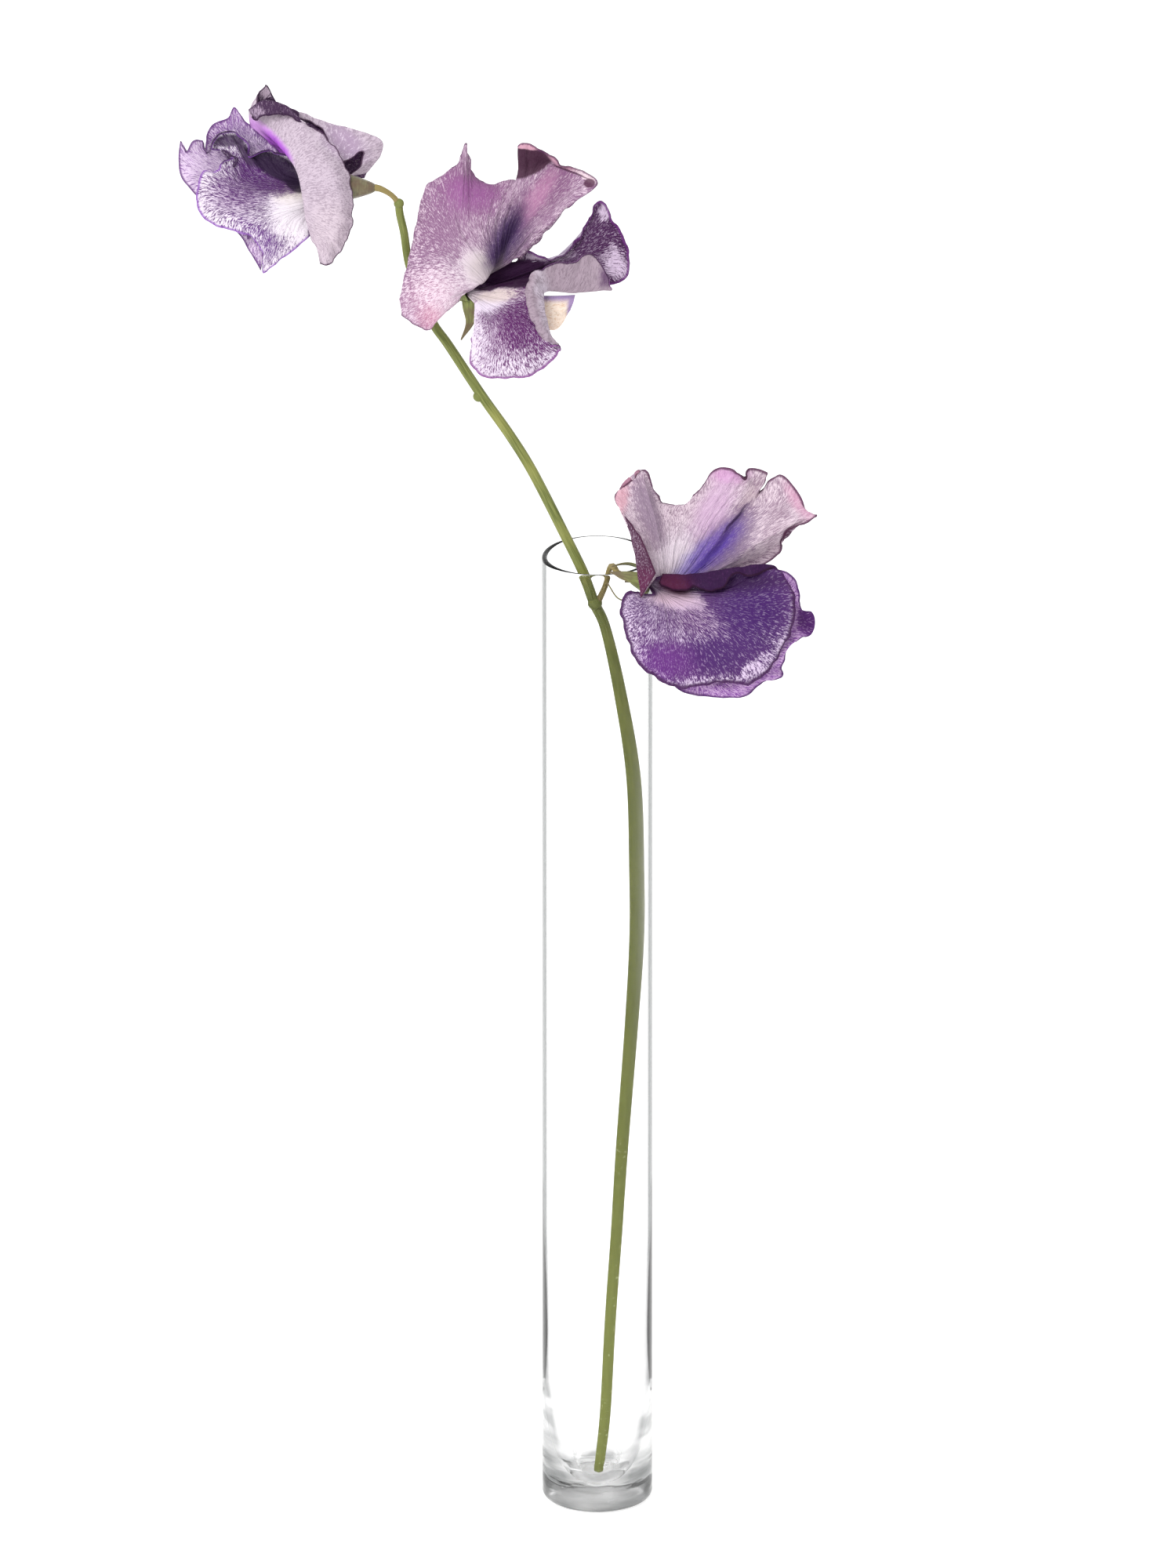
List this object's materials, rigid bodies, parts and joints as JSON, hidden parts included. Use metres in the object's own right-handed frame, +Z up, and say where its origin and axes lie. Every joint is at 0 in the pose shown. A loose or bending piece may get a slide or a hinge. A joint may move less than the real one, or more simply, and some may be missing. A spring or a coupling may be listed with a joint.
{
  "type": "sweet pea flower stem in a glass tube vase",
  "caption": "Cut sweet pea stem with open ruffled flowers, leaning over the rim of a slim clear glass tube vase that stands on a thick base.",
  "frame": {"origin": "centre of the vase's flat underside", "axes": "+Z up along the vase, -Y towards the front, where the lower flower hangs over the rim, +X to the right seen from the front"},
  "size_m": [0.1615, 0.0503, 0.3864],
  "materials": {
    "clear_glass": "clear, fire polished",
    "stem_green": "fresh green plant stem, faintly ridged",
    "calyx_green": "yellow green sepals with brown purple edges",
    "standard_lilac": "satin petal, pale lilac veined and flecked with purple",
    "wing_purple": "satin petal, purple flecked on pale lilac with a dark margin",
    "keel_cream": "satin petal, cream with a violet edge"
  },
  "bodies": {
    "root": {"vase": "clear_glass", "stem": "stem_green", "calyx_lower": "calyx_green", "standard_lower": "standard_lilac", "wing_near_lower": "wing_purple", "wing_far_lower": "wing_purple", "keel_lower": "keel_cream", "calyx_middle": "calyx_green", "standard_middle": "standard_lilac", "wing_near_middle": "wing_purple", "wing_far_middle": "wing_purple", "keel_middle": "keel_cream", "calyx_top": "calyx_green", "standard_top": "standard_lilac", "wing_near_top": "wing_purple", "wing_far_top": "wing_purple", "keel_top": "keel_cream"}
  },
  "joints": []
}
